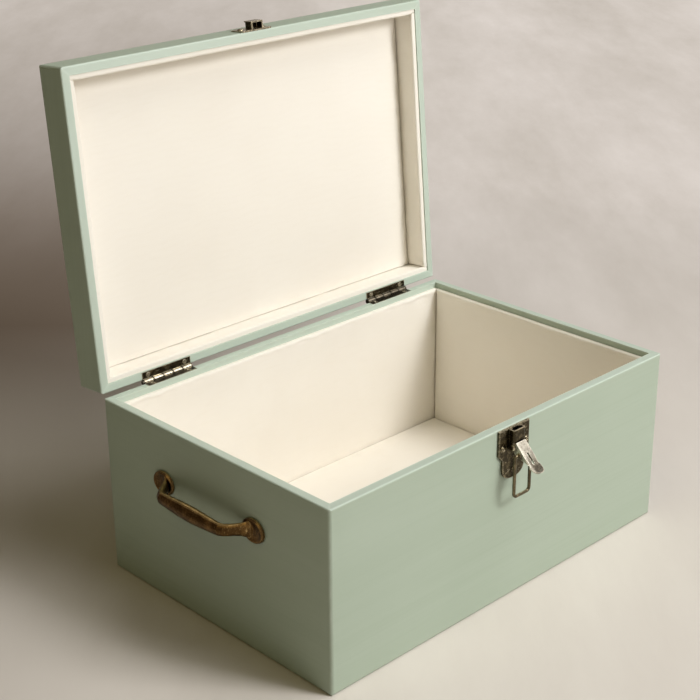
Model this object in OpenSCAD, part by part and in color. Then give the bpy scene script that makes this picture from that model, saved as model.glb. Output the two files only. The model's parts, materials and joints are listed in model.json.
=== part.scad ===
// Keepsake box: a painted, mitred wooden case and lid with a padded cream lining,
// two stop hinges, a toggle latch with a wire loop, and a cast bow handle on each side.
// The lid is drawn open, resting on the stops of its hinges.
// X runs along the front, Y to the back, Z up. The origin is the middle of the underside.

/* [Case] */
// Width of the case along its front
body_w = 350; // [240:5:450]
// Depth of the case from front to back
body_d = 235; // [180:5:320]
// Height of the case without the lid
body_h = 138; // [90:1:200]
// Thickness of the side boards of the case and of the lid
wall_t = 6.5; // [6:0.5:12]
// Thickness of the floor board
floor_t = 6; // [4:0.5:10]
// Radius of the upright corners
corner_r = 2.5; // [1:0.5:3]
// Radius on the outer edge of the two rims
rim_edge_r = 1.2; // [0.5:0.1:2]
// Radius on the lower outer edge of the case
base_edge_r = 2; // [0.5:0.5:3]

/* [Lid] */
// Height of the lid
lid_h = 27.5; // [22:0.5:45]
// Thickness of the lid's top board
lid_top_t = 5; // [4:0.5:8]
// Radius on the upper outer edge of the lid
lid_edge_r = 3; // [1:0.5:3]
// Angle at which the lid rests on the hinge stops
lid_open = 94.7; // [92:0.1:98]
// Gap between the two rims when the lid is shut
rim_gap = 1; // [0.8:0.1:2]

/* [Lining] */
// Thickness of the padded panels on the sides
side_pad_t = 3.2; // [2:0.1:5]
// Thickness of the padded floor
floor_pad_t = 8; // [4:0.5:12]
// Thickness of the padded panel inside the lid
lid_pad_t = 4; // [2:0.5:6]
// How far the case lining ends below the rim
lining_drop = 4.7; // [2:0.1:10]
// Radius of the rolled edges of a padded panel
pad_roll = 4; // [2:0.5:8]
// How much the middle of a padded panel rises above its rolled edge
pad_crown = 0.8; // [0:0.1:2]

/* [Hinges] */
// Length of a hinge
hinge_l = 45; // [35:1:60]
// Distance of each hinge from the middle of the box
hinge_x = 116; // [80:1:150]
// Thickness of the hinge leaves
leaf_t = 1; // [0.8:0.1:1.2]
// Radius of the hinge barrel
barrel_r = 1.9; // [1.7:0.1:2.1]
// Radius of the hinge pin
hinge_pin_r = 0.85; // [0.7:0.05:1]
// Distance of the hinge axis behind the back of the case
hinge_back = 1.4; // [1.2:0.1:1.8]

/* [Latch] */
// Half width of the latch's base plate
plate_half_w = 16; // [14:0.5:20]
// Depth to which the base plate is pressed
plate_t = 2; // [1.6:0.1:2.2]
// Outer half width of the bracket on the base plate
bracket_half_w = 6; // [5.6:0.1:6.2]
// How far the bracket stands out of the case front
bracket_out = 6.5; // [6:0.1:6.8]
// Distance of the lever's pivot from the case front
pivot_out = 5; // [4.8:0.1:5.4]
// Distance of the lever's pivot below the rim
pivot_drop = 15; // [14:0.5:17]
// Angle of the open lever from upright
lever_open = 43.8; // [35:0.1:50]
// Distance from the lever's pivot to the loop's pivot
throw = 6.6; // [6:0.1:8]
// Length of the wire loop between its pivot and its far bar
loop_l = 31.2; // [28:0.1:36]
// Half of the distance between the legs of the loop
loop_half_w = 8.2; // [8:0.1:9]
// Radius of the loop's wire
wire_r = 1.2; // [1:0.05:1.3]

/* [Handles] */
// Distance between the two feet of a handle
handle_l = 95; // [70:1:120]
// Distance of the handle's grip from the side of the case
handle_out = 16.8; // [14:0.1:24]
// Height of the handles above the ground
handle_z = 95.5; // [60:0.5:150]
// How far the handles sit behind the middle of the sides
handle_y = 2; // [-10:1:10]
// Half height of the handle's grip at its middle
grip_half_h = 6; // [4:0.25:8]

/* [Hidden] */
$fn = 48;
tiny = 0.01;            // overshoot of a cut past a face
fit = 0.05;             // radial clearance of a pin or shank in its hole
pad_gap = 0.3;          // clearance beside a padded panel
pad_draw = 0.5;         // how far a padded panel's sides are drawn in at their middle
pad_edge_share = 0.35;  // height of the foot of its rolled edge, as a share of the roll's
rebate_w = 3;           // depth of the rebates that hold floor and top board
board_fit = 0.1;        // clearance of a board in its rebate

inner_w = body_w - 2 * wall_t;
inner_d = body_d - 2 * wall_t;

// The hinge axis, and the lid's rim when shut
axis_y = body_d / 2 + hinge_back;
axis_z = body_h + rim_gap / 2;
lid_z = body_h + rim_gap;

// Hinge
knuckles = 5;
knuckle_gap = 0.15;
knuckle_l = hinge_l / knuckles;
leaf_inset = 0.5;                       // from the leaf's front edge to the inner face of the wood
leaf_w = wall_t - leaf_inset + hinge_back;
leaf_air = 0.4;                         // gap between the two shut leaves
heel_out = 2.9;                         // reach of a stop heel in front of the axis
heel_t = 0.65;
swing_air = 0.2;                        // clearance around a turning barrel
hinge_screw_x = 17;
hinge_screw_y = (leaf_w + barrel_r + swing_air) / 2;
hinge_screw_r = 0.9;
hinge_screw_l = 9;
hinge_head_r = 1.7;

// Latch, placed from the case front (out) and down from the rim
latch_sheet = 0.8;
plate_top = 0.9;
plate_square_h = 19;
plate_shoulder_h = 5;   // height over which the base plate draws in
plate_tongue_w = 11.7;  // half width of its lower part
plate_tongue_r = 9;     // round of the lower corners
plate_end = 40.5;       // lower end of the base plate
plate_edge = 0.5;
plate_sheet = 0.9;
bracket_top = 1.7;
bracket_bottom = 11.8;
bracket_foot_w = 1.8;
bracket_bend = 1.4;     // outer radius of the bracket's bends
ear_r = 2.4;
ear_inside = 0.3;       // how far the straight edges of an ear start inside its rounds
lever_gap = 0.15;
lever_half_w = bracket_half_w - latch_sheet - lever_gap;
lever_sheet = 1;
lever_face = 4.6;       // front face of the lever, measured square to it from its pivot
lever_heel = 1.2;       // how far the lever's plate runs past its pivot
lever_flat = 17.5;      // end of the lever's flat part
lever_neck = 4.3;       // half width of the plate there
lever_taper = 4;        // where the plate starts to narrow, past the loop's pivot
lever_ear_r = 2.3;
lever_bend_r = 4;       // the tip's bend out of the plate
lever_bend = 16;
lever_bend_steps = 4;
lever_tip_r = 5.4;
lever_tip_l = 6.2;      // length of the tip past its bend
lever_slot = [8.5, 16]; // ends of the slot, from the pivot
lever_slot_r = 0.9;
lever_lip_h = 0.8;      // turned-up end of the tip
lever_lip_l = 1.8;
loop_ear_r = 2;
loop_side = 0.3;        // offset of the loop's pivot towards the lever's face
lever_shut = -8.2;      // the lever's angle from upright when shut
rivet_r = 1.2;
rivet_head_r = 2.2;
rivet_head_t = 0.6;
bush_r = 1.6;
bush_flange_r = 2.05;
bush_flange_t = 0.4;
loop_bend_r = 3;
stub_bend_r = 1.8;
stub_end = 3.2;
latch_screws = [[-12.5, -15], [12.5, -15], [0, -34.5]];
latch_screw_r = 1.1;
latch_head_r = 2.3;
latch_head_h = 1.2;
latch_screw_l = 5.5;    // depth of the screws in the board

// Strike on the lid's front, placed up from the lid's rim
strike_half_w = 14.5;
strike_h = 14.4;
strike_foot = 0.2;
strike_t = 1;
strike_corner = 2;
hook_half_w = 5.5;
hook_out = 7;
hook_sheet = 0.9;
hook_rest = 0.12;       // air under the loop's bar when the latch is shut
lip_h = 1.2;
strike_screws = [[-10.6, 7.6], [10.6, 7.6]];

// Handle
foot_half_l = 11;
foot_half_h = 9;
foot_t = 2.8;           // height of a foot's raised rim over the board
foot_sides = 28;
sweep_past = 3;         // how far the grip's sweep runs past the middle of a foot, inside it
sweep_low = 0.9;        // height of its middle line over the board there
neck_l = 18;            // length over which a neck rises from the middle of its foot
neck_slim = 1.6;        // how much lower a neck is than the grip, above and below
neck_fan = 2.8;         // how much a neck spreads into its foot, above and below
neck_half_t = 3.4;
grip_half_t = 4.6;
grip_bow = 1.5;         // how much further out the grip is at its middle than over the feet
grip_rings = 40;
grip_sides = 24;
handle_screw_r = 2;
handle_screw_y = handle_l / 2 - 5;
handle_screw_deep = 4;  // reach of the screws into the handle
handle_screw_spare = 0.5;
handle_head_r = 3.6;

paint = [0.66, 0.72, 0.62];
cloth = [0.95, 0.92, 0.85];
dark_brass = [0.30, 0.26, 0.20];
old_nickel = [0.45, 0.41, 0.34];
bronze = [0.37, 0.28, 0.16];

// ---------- Places ----------

// Turns what is drawn on the shut lid to where the open lid holds it
module on_lid() {
  translate([0, axis_y, axis_z]) rotate([-lid_open, 0, 0]) translate([0, -axis_y, -axis_z]) children();
}

// On the case front: X along the front, Y up from the rim, Z out of the board
module on_front() {
  translate([0, -body_d / 2, body_h]) rotate([90, 0, 0]) children();
}

// On the shut lid's front: X along the front, Y up from the lid's rim, Z out of the rail
module on_lid_front() {
  translate([0, -body_d / 2, lid_z]) rotate([90, 0, 0]) children();
}

// At a hinge: X along the barrel, Y to the back and Z up from the axis
module at_hinge(side) {
  translate([side * hinge_x, axis_y, axis_z]) children();
}

// At a handle: X out of the side board, Y to the back, Z up, from the middle of the handle
module at_handle(side) {
  translate([side * body_w / 2, handle_y, handle_z]) rotate([0, 0, side > 0 ? 0 : 180]) children();
}

// ---------- Boards ----------

// Waste outside a round of radius r in the corner at the origin
module round_waste(r) {
  difference() {
    translate([-1, -1]) square(r + 1);
    translate([r, r]) circle(r);
  }
}

// Section of a side board: outer face on x = 0, rim at y = 0, other edge at y = height,
// where a rebate on the inner side takes the floor or top board
module board_section(height, edge_r, rebate_t) {
  difference() {
    square([wall_t, height]);
    round_waste(rim_edge_r);
    translate([0, height]) mirror([0, 1]) round_waste(edge_r);
    translate([wall_t - rebate_w, height - rebate_t]) square([rebate_w + 1, rebate_t + 1]);
  }
}

// Plan of the box with its rounded upright corners
module plan() {
  difference() {
    square([body_w, body_d], center = true);
    for (x = [0, 1], y = [0, 1]) {
      mirror([x, 0]) mirror([0, y]) translate([-body_w / 2, -body_d / 2]) round_waste(corner_r);
    }
  }
}

// Plan of the one side that the mitres leave: front 0, right 90, back 180, left 270
module side_plan(turn) {
  reach = turn % 180 == 0 ? body_d / 2 : body_w / 2;
  half = turn % 180 == 0 ? body_w / 2 : body_d / 2;
  rotate(turn) polygon([[-half - 1, -reach - 1], [half + 1, -reach - 1],
                        [half - wall_t, -reach + wall_t], [-half + wall_t, -reach + wall_t]]);
}

// A mitred side board of the given height with its rim up
module side_board(turn, height, edge_r, rebate_t) {
  reach = turn % 180 == 0 ? body_d / 2 : body_w / 2;
  half = turn % 180 == 0 ? body_w / 2 : body_d / 2;
  intersection() {
    translate([0, 0, height]) rotate([0, 0, turn]) translate([-half, -reach, 0])
      rotate([-90, 0, -90]) mirror([1, 0, 0]) linear_extrude(2 * half)
        board_section(height, edge_r, rebate_t);
    linear_extrude(height) intersection() {
      plan();
      side_plan(turn);
    }
  }
}

module case_side(turn) {
  side_board(turn, body_h, base_edge_r, floor_t);
}

// Lid sides are the same boards turned over, with the rim down
module lid_side(turn) {
  translate([0, 0, lid_z + lid_h]) mirror([0, 0, 1]) side_board(turn, lid_h, lid_edge_r, lid_top_t);
}

module board_in_rebate(thickness) {
  board_w = inner_w + 2 * (rebate_w - board_fit);
  board_d = inner_d + 2 * (rebate_w - board_fit);
  translate([-board_w / 2, -board_d / 2, 0]) cube([board_w, board_d, thickness]);
}

// Hollow in the back boards for a hinge: the leaf's bed and room for the turning barrel.
// up is 1 for the lid and -1 for the case
module hinge_bed(side, up) {
  at_hinge(side) {
    translate([-hinge_l / 2, -leaf_w, up > 0 ? 0 : -leaf_air / 2 - leaf_t])
      cube([hinge_l, leaf_w + 1, leaf_air / 2 + leaf_t]);
    translate([-hinge_l / 2, 0, 0]) rotate([0, 90, 0]) cylinder(h = hinge_l, r = barrel_r + swing_air);
    if (up < 0) {
      for (k = [1, 3]) {
        translate([k * knuckle_l - hinge_l / 2, 0, 0]) rotate([0, 90, 0])
          cylinder(h = knuckle_l, r = norm([heel_out, barrel_r]) + swing_air);
      }
    }
  }
}

module hinge_screw_holes(side, up) {
  at_hinge_screws(side, up) {
    translate([0, 0, -hinge_screw_l - fit]) cylinder(h = hinge_screw_l + 1, r = hinge_screw_r + fit);
  }
}

// Screw places in a leaf: Z out of the wood, zero on the face of the leaf
module at_hinge_screws(side, up) {
  at_hinge(side) {
    for (x = [-hinge_screw_x, hinge_screw_x]) {
      translate([x, -hinge_screw_y, up * leaf_air / 2]) mirror([0, 0, up > 0 ? 1 : 0]) children();
    }
  }
}

// Hole for a latch screw, through a fitting on z = 0 and into the board behind it
module screw_hole(place) {
  translate([place.x, place.y, -latch_screw_l - fit])
    cylinder(h = latch_screw_l + plate_t + 1, r = latch_screw_r + fit);
}

module front_wall() {
  color(paint) difference() {
    case_side(0);
    on_front() {
      for (place = latch_screws) {
        screw_hole(place);
      }
    }
  }
}

module back_wall() {
  color(paint) difference() {
    case_side(180);
    for (side = [-1, 1]) {
      hinge_bed(side, -1);
      hinge_screw_holes(side, -1);
    }
  }
}

module side_wall(side) {
  color(paint) difference() {
    case_side(side > 0 ? 90 : 270);
    at_handle_screws(side) {
      translate([0, 0, -1]) cylinder(h = wall_t + 2, r = handle_screw_r + fit);
      handle_screw_head(fit);
    }
  }
}

module floor_board() {
  color(paint) board_in_rebate(floor_t);
}

module lid_top_board() {
  color(paint) on_lid() translate([0, 0, lid_z + lid_h - lid_top_t]) board_in_rebate(lid_top_t);
}

module lid_front_rail() {
  color(paint) on_lid() difference() {
    lid_side(0);
    on_lid_front() {
      for (place = strike_screws) {
        screw_hole(place);
      }
    }
  }
}

module lid_back_rail() {
  color(paint) on_lid() difference() {
    lid_side(180);
    for (side = [-1, 1]) {
      hinge_bed(side, 1);
      hinge_screw_holes(side, 1);
    }
  }
}

module lid_end_rail(side) {
  color(paint) on_lid() lid_side(side > 0 ? 90 : 270);
}

// ---------- Padded lining ----------

// Distances of the grid lines of a pad from its edge, denser over the rolled edge
function grid_lines(half) = let(inner = half - pad_roll, steps = [0, 0.12, 0.45, 1])
  concat([for (s = steps) -half + s * pad_roll],
         [for (k = [1:3]) -inner + k * inner / 2],
         [for (k = [3:-1:0]) half - steps[k] * pad_roll]);

// Height of a pad over a point, as a share of the way up its rolled edge
function rolled(gap) = let(s = min(gap / pad_roll, 1))
  pad_edge_share + (1 - pad_edge_share) * sqrt(1 - (1 - s) * (1 - s));

// Fabric drawn in between the corners, as a share of the half width
function drawn_in(s) = 1 - s * s;

// A padded panel, flat on z = 0, with rolled edges, a crowned face and drawn-in sides
module pad(width, height, thickness, crown = pad_crown) {
  xs = grid_lines(width / 2);
  ys = grid_lines(height / 2);
  n = len(xs);
  face = [for (y = ys, x = xs) let(
      u = x / (width / 2),
      v = y / (height / 2),
      edge = min(width / 2 - abs(x), height / 2 - abs(y)),
      rise = (thickness - crown) * rolled(edge) + crown * drawn_in(u) * drawn_in(v))
    [x - u * pad_draw * drawn_in(v), y - v * pad_draw * drawn_in(u), rise]];
  back = [for (p = face) [p.x, p.y, 0]];
  count = n * n;
  cells = [for (j = [0:n - 2], i = [0:n - 2]) j * n + i];
  rim = concat([for (i = [0:n - 2]) i], [for (j = [0:n - 2]) j * n + n - 1],
               [for (i = [n - 1:-1:1]) (n - 1) * n + i], [for (j = [n - 1:-1:1]) j * n]);
  sides = len(rim);
  polyhedron(points = concat(face, back), faces = concat(
    [for (c = cells) [c, c + n, c + n + 1]],
    [for (c = cells) [c, c + n + 1, c + 1]],
    [for (c = cells) [c + count, c + n + 1 + count, c + n + count]],
    [for (c = cells) [c + count, c + 1 + count, c + n + 1 + count]],
    [for (k = [0:sides - 1]) [rim[k], rim[(k + 1) % sides], rim[(k + 1) % sides] + count]],
    [for (k = [0:sides - 1]) [rim[k], rim[(k + 1) % sides] + count, rim[k] + count]]));
}

lining_h = body_h - lining_drop - floor_t;
lid_lining_h = lid_h - lid_top_t - strike_foot - rim_edge_r / 2;
lid_pad_z = lid_z + strike_foot + rim_edge_r / 2;
long_pad_w = inner_w - 2 * pad_gap;
short_pad_w = inner_d - 2 * side_pad_t - 2 * pad_gap;

module floor_pad() {
  color(cloth) translate([0, 0, floor_t])
    pad(inner_w - 2 * side_pad_t - 2 * pad_gap, short_pad_w, floor_pad_t);
}

// A panel stood on the side at the given turn, with its lower edge at height z
module stood_pad(turn, width, height, z) {
  reach = turn % 180 == 0 ? inner_d / 2 : inner_w / 2;
  color(cloth) rotate([0, 0, turn]) translate([0, -reach, z + height / 2]) rotate([-90, 0, 0])
    pad(width, height, side_pad_t);
}

module lid_top_pad() {
  color(cloth) on_lid() translate([0, 0, lid_z + lid_h - lid_top_t]) mirror([0, 0, 1])
    pad(inner_w - 2 * side_pad_t - 2 * pad_gap, short_pad_w, lid_pad_t);
}

// ---------- Hinges ----------

// Section of one leaf across the barrel, Y to the back and Z up from the axis.
// up is 1 for the lid's leaf and -1 for the case's
module leaf_plate(up) {
  translate([-leaf_w, up > 0 ? leaf_air / 2 : -leaf_air / 2 - leaf_t]) square([leaf_w, leaf_t]);
}

// The stop: a heel under the barrel that meets the case's leaf when the lid is open
module stop_heel() {
  rotate(lid_open) translate([-heel_out, -barrel_r]) square([heel_out, heel_t]);
}

module across_barrel(from, length) {
  translate([from, 0, 0]) rotate([90, 0, 90]) linear_extrude(length) children();
}

// A leaf with the knuckles that are its own; the other leaf's knuckles run in its cut-outs
module hinge_leaf(side, up) {
  own = up > 0 ? [1, 3] : [0, 2, 4];
  other = up > 0 ? [0, 2, 4] : [1, 3];
  at_hinge(side) difference() {
    union() {
      across_barrel(-hinge_l / 2, hinge_l) leaf_plate(up);
      for (k = own) {
        across_barrel(k * knuckle_l - hinge_l / 2, knuckle_l) circle(barrel_r);
      }
      if (up > 0) {
        for (k = own) {
          across_barrel(k * knuckle_l - hinge_l / 2 + 2 * knuckle_gap, knuckle_l - 4 * knuckle_gap)
            stop_heel();
        }
      }
    }
    for (k = other) {
      across_barrel(k * knuckle_l - hinge_l / 2 - knuckle_gap, knuckle_l + 2 * knuckle_gap)
        translate([-barrel_r - swing_air, -2 * barrel_r]) square([4 * barrel_r, 4 * barrel_r]);
    }
    across_barrel(-hinge_l / 2 - 1, hinge_l + 2) circle(hinge_pin_r + fit);
    translate([-side * hinge_x, -axis_y, -axis_z]) at_hinge_screws(side, up) hinge_screw(fit);
  }
}

// A countersunk screw with its head flush on z = 0; grow widens it to cut its own hole
module hinge_screw(grow = 0) {
  head_h = hinge_head_r - hinge_screw_r;
  past = grow > 0 ? tiny : 0;
  translate([0, 0, -hinge_screw_l]) cylinder(h = hinge_screw_l - head_h / 2, r = hinge_screw_r + grow);
  translate([0, 0, -head_h])
    cylinder(h = head_h + past, r1 = hinge_screw_r + grow, r2 = hinge_head_r + grow + past);
}

module hinge_case_leaf(side) {
  color(dark_brass) hinge_leaf(side, -1);
}

module hinge_lid_leaf(side) {
  color(dark_brass) on_lid() hinge_leaf(side, 1);
}

// The pin, with a small head at its outer end
module hinge_pin(side) {
  color(dark_brass) at_hinge(side) {
    across_barrel(-hinge_l / 2, hinge_l) circle(hinge_pin_r);
    across_barrel(side > 0 ? hinge_l / 2 : -hinge_l / 2 - rivet_head_t, rivet_head_t) circle(barrel_r - 0.3);
  }
}

module hinge_case_screws() {
  color(dark_brass) for (side = [-1, 1]) {
    at_hinge_screws(side, -1) hinge_screw();
  }
}

module hinge_lid_screws() {
  color(dark_brass) on_lid() for (side = [-1, 1]) {
    at_hinge_screws(side, 1) hinge_screw();
  }
}

// ---------- Latch ----------

// Outline of the pressed base plate's upper part: square, with shoulders drawn in below
module plate_head(inset) {
  half = plate_half_w - inset;
  tongue = plate_tongue_w - inset;
  square_end = -plate_top - plate_square_h;
  polygon([[-half, -plate_top - inset], [half, -plate_top - inset], [half, square_end],
           [tongue, square_end - plate_shoulder_h], [-tongue, square_end - plate_shoulder_h],
           [-half, square_end]]);
}

// Outline of its lower part: straight, with rounded corners
module plate_tongue(inset) {
  tongue = plate_tongue_w - inset;
  corner_x = plate_tongue_w - plate_tongue_r;
  top = -plate_top - plate_square_h;
  translate([-tongue, -plate_end + plate_tongue_r]) square([2 * tongue, plate_end - plate_tongue_r + top]);
  translate([-corner_x, -plate_end + inset]) square([2 * corner_x, plate_tongue_r]);
  for (x = [-corner_x, corner_x]) {
    translate([x, -plate_end + plate_tongue_r]) circle(plate_tongue_r - inset);
  }
}

module latch_plate() {
  color(old_nickel) on_front() difference() {
    union() {
      hull() {
        linear_extrude(plate_t - plate_edge) plate_head(0);
        linear_extrude(plate_t) plate_head(plate_edge);
      }
      hull() {
        linear_extrude(plate_t - plate_edge) plate_tongue(0);
        linear_extrude(plate_t) plate_tongue(plate_edge);
      }
    }
    translate([0, 0, -1]) linear_extrude(plate_t - plate_sheet + 1) {
      plate_head(plate_sheet);
      plate_tongue(plate_sheet);
    }
    for (place = latch_screws) {
      screw_hole(place);
    }
  }
}

// Across the latch: draws a section of out (x) and down from the rim (y, negative), from x1 to x2
module across_latch(x1, x2) {
  translate([x1, -body_d / 2, body_h]) rotate([90, 0, 90]) linear_extrude(x2 - x1)
    mirror([1, 0]) children();
}

module latch_bracket() {
  inner = bracket_half_w - latch_sheet;
  color(old_nickel) {
    on_front() translate([0, -bracket_bottom, plate_t]) rotate([-90, 0, 0])
      linear_extrude(bracket_bottom - bracket_top) bracket_channel(inner);
    for (side = [-1, 1]) {
      across_latch(side > 0 ? inner : -bracket_half_w, side > 0 ? bracket_half_w : -inner) bracket_ear();
    }
  }
}

// One of the bracket's ears, with x out of the board and y up
module bracket_ear() {
  difference() {
    union() {
      polygon([[plate_t, -bracket_bottom + 1], [bracket_out - bracket_bend, -bracket_bottom + 1],
               [bracket_out - bracket_bend, -bracket_bottom],
               [pivot_out + ear_r - ear_inside, -pivot_drop],
               [pivot_out, -pivot_drop - ear_r + ear_inside],
               [plate_t, -pivot_drop - ear_r + ear_inside]]);
      translate([pivot_out, -pivot_drop]) circle(ear_r);
    }
    translate([pivot_out, -pivot_drop]) circle(rivet_r + fit);
  }
}

// Plan of the bracket: a channel with rounded bends and two feet turned in on the plate.
// X along the front, Y towards the board
module bracket_channel(inner) {
  depth = bracket_out - plate_t;
  difference() {
    translate([-bracket_half_w, -depth]) square([2 * bracket_half_w, depth]);
    for (side = [0, 1]) {
      mirror([side, 0]) translate([-bracket_half_w, -depth]) round_waste(bracket_bend);
    }
    translate([-inner, -depth + latch_sheet]) square([2 * inner, depth - 2 * latch_sheet]);
    translate([-inner + bracket_foot_w, -latch_sheet - tiny])
      square([2 * (inner - bracket_foot_w), latch_sheet + 1]);
  }
}

// Turns what is drawn on the upright lever to its open place:
// X along the front, Y down the lever as negative, Z out of its face, from its pivot
module on_lever() {
  translate([0, -body_d / 2 - pivot_out, body_h - pivot_drop]) rotate([-lever_open, 0, 0])
    rotate([90, 0, 0]) children();
}

// How far the lever's tip reaches down from its pivot
tip_end = lever_flat + (lever_bend_r + lever_sheet) * sin(lever_bend) + lever_tip_l * cos(lever_bend);

// Plan of the lever's plate with its round finger tip
module lever_plan() {
  polygon([[-lever_half_w, lever_heel], [lever_half_w, lever_heel], [lever_half_w, -throw - lever_taper],
           [lever_neck, -lever_flat], [-lever_neck, -lever_flat], [-lever_half_w, -throw - lever_taper]]);
  translate([0, lever_tip_r - tip_end]) circle(lever_tip_r);
}

// Side of the lever's plate, with x out of its face and y down it: flat, then bent out at the tip,
// whose end is turned up
module lever_side() {
  function bent(r, angle) = [lever_face + lever_bend_r - r * cos(angle), -lever_flat - r * sin(angle)];
  function along(r, l) = bent(r, lever_bend) + l * [sin(lever_bend), -cos(lever_bend)];
  outer_r = lever_bend_r + lever_sheet;
  turns = [for (k = [0:lever_bend_steps]) lever_bend * k / lever_bend_steps];
  polygon(concat(
    [[lever_face, lever_heel]],
    [for (angle = turns) bent(lever_bend_r, angle)],
    [along(lever_bend_r, lever_tip_l - lever_lip_l),
     along(lever_bend_r - lever_lip_h, lever_tip_l - lever_lip_l / 2),
     along(lever_bend_r - lever_lip_h, lever_tip_l + 1), along(outer_r, lever_tip_l + 1)],
    [for (k = [lever_bend_steps:-1:0]) bent(outer_r, turns[k])],
    [[lever_face - lever_sheet, lever_heel]]));
}

// One of the lever's ears, drawn with x out of the lever's face and y down it
module ear_outline() {
  inside = lever_face - lever_sheet / 2;
  polygon([[inside, lever_heel - ear_inside], [0, lever_ear_r - ear_inside],
           [-lever_ear_r + ear_inside, 0], [loop_side - loop_ear_r + ear_inside, -throw],
           [inside, -lever_flat + 1]]);
  circle(lever_ear_r);
  translate([loop_side, -throw]) circle(loop_ear_r);
}

module latch_lever() {
  inside = lever_face - lever_sheet;
  across = 2 * lever_half_w + 2;
  color(old_nickel) on_lever() difference() {
    union() {
      intersection() {
        across_lever(-across / 2, across) lever_side();
        linear_extrude(3 * lever_face) lever_plan();
      }
      for (side = [-1, 1]) {
        across_lever(side > 0 ? lever_half_w - latch_sheet : -lever_half_w, latch_sheet) ear_outline();
      }
    }
    across_lever(-across / 2, across) circle(rivet_r + fit);
    across_lever(-across / 2, across) translate([loop_side, -throw]) circle(bush_r + fit);
    for (y = lever_slot) {
      translate([0, -y, inside - 1]) cylinder(h = lever_sheet + 2, r = lever_slot_r);
    }
    translate([-lever_slot_r, -lever_slot[1], inside - 1])
      cube([2 * lever_slot_r, lever_slot[1] - lever_slot[0], lever_sheet + 2]);
  }
}

// Draws a side of the lever, with x out of its face, as a slab of the given thickness
module across_lever(from, thickness) {
  translate([from, 0, 0]) rotate([0, 90, 0]) linear_extrude(thickness) mirror([1, 0]) children();
}

// The rivet that the lever turns on, headed over on both ears of the bracket
module lever_rivet() {
  color(old_nickel) translate([0, -body_d / 2 - pivot_out, body_h - pivot_drop]) rotate([0, 90, 0]) {
    cylinder(h = 2 * bracket_half_w, r = rivet_r, center = true);
    for (side = [0, 1]) {
      mirror([0, 0, side]) translate([0, 0, bracket_half_w])
        cylinder(h = rivet_head_t, r1 = rivet_head_r, r2 = rivet_r);
    }
  }
}

// The hollow rivet across the lever that the ends of the loop turn in
module loop_bush() {
  color(old_nickel) on_lever() translate([0, -throw, loop_side]) rotate([0, 90, 0]) difference() {
    union() {
      for (side = [0, 1]) {
        mirror([0, 0, side]) {
          cylinder(h = lever_half_w + 2 * fit, r = bush_r);
          translate([0, 0, lever_half_w + fit]) cylinder(h = bush_flange_t, r = bush_flange_r);
        }
      }
    }
    cylinder(h = 3 * lever_half_w, r = wire_r + fit, center = true);
  }
}

// The wire loop, hanging from its bush; its two ends are bent in
module wire_loop() {
  leg_top = -stub_bend_r;
  leg_end = -loop_l + loop_bend_r;
  pivot = loop_pivot();
  color(old_nickel) translate([0, -body_d / 2 - pivot[0], body_h + pivot[1]]) {
    for (side = [0, 1]) {
      mirror([side, 0, 0]) {
        translate([loop_half_w, 0, leg_end]) cylinder(h = leg_top - leg_end, r = wire_r);
        translate([stub_end, 0, 0]) rotate([0, 90, 0])
          cylinder(h = loop_half_w - stub_bend_r - stub_end, r = wire_r);
        translate([loop_half_w - stub_bend_r, 0, -stub_bend_r]) rotate([90, 0, 0]) wire_bend(stub_bend_r);
        translate([loop_half_w - loop_bend_r, 0, leg_end]) rotate([-90, 0, 0]) wire_bend(loop_bend_r);
      }
    }
    translate([0, 0, -loop_l]) rotate([0, 90, 0])
      cylinder(h = 2 * (loop_half_w - loop_bend_r), r = wire_r, center = true);
  }
}

// A quarter turn of the wire in the XY plane, from +X to +Y
module wire_bend(r) {
  rotate_extrude(angle = 90) translate([r, 0]) circle(wire_r);
}

// The loop's pivot when the lever is at an angle from upright: [out, up from the rim]
function loop_pivot(angle = lever_open) = [
  pivot_out + loop_side * cos(angle) + throw * sin(angle),
  -pivot_drop + loop_side * sin(angle) - throw * cos(angle)];

// A round-headed screw with the underside of its head on z = 0
module round_screw(seat) {
  translate([0, 0, -seat - latch_screw_l]) cylinder(h = seat + latch_screw_l, r = latch_screw_r);
  intersection() {
    cylinder(h = latch_head_h, r = latch_head_r);
    ball_r = (latch_head_r * latch_head_r + latch_head_h * latch_head_h) / (2 * latch_head_h);
    translate([0, 0, latch_head_h - ball_r]) sphere(ball_r);
  }
}

module latch_screw_set() {
  color(old_nickel) on_front() for (place = latch_screws) {
    translate([place.x, place.y, plate_t]) round_screw(plate_t);
  }
}

module strike_screw_set() {
  color(old_nickel) on_lid() on_lid_front() for (place = strike_screws) {
    translate([place.x, place.y, strike_t]) round_screw(strike_t);
  }
}

// The strike: a plate with a pressed pocket that the loop's bar rests on, behind a low lip
module strike_hook() {
  shut_bar = loop_pivot(lever_shut)[1] + loop_l - rim_gap;
  hook_top = shut_bar - wire_r - hook_rest;
  color(old_nickel) on_lid() on_lid_front() difference() {
    union() {
      linear_extrude(strike_t) translate([0, strike_foot]) difference() {
        translate([-strike_half_w, 0]) square([2 * strike_half_w, strike_h]);
        for (x = [0, 1], y = [0, 1]) {
          translate([0, strike_h / 2]) mirror([x, 0]) mirror([0, y])
            translate([-strike_half_w, -strike_h / 2]) round_waste(strike_corner);
        }
      }
      translate([-hook_half_w, strike_foot, 0]) cube([2 * hook_half_w, hook_top - strike_foot, hook_out]);
      translate([-hook_half_w, strike_foot, hook_out - hook_sheet])
        cube([2 * hook_half_w, hook_top + lip_h - strike_foot, hook_sheet]);
    }
    translate([-hook_half_w + hook_sheet, strike_foot - 1, strike_t])
      cube([2 * (hook_half_w - hook_sheet), hook_top - strike_foot + 1 - hook_sheet,
            hook_out - strike_t - hook_sheet]);
    for (place = strike_screws) {
      screw_hole(place);
    }
  }
}

// ---------- Handles ----------

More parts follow.
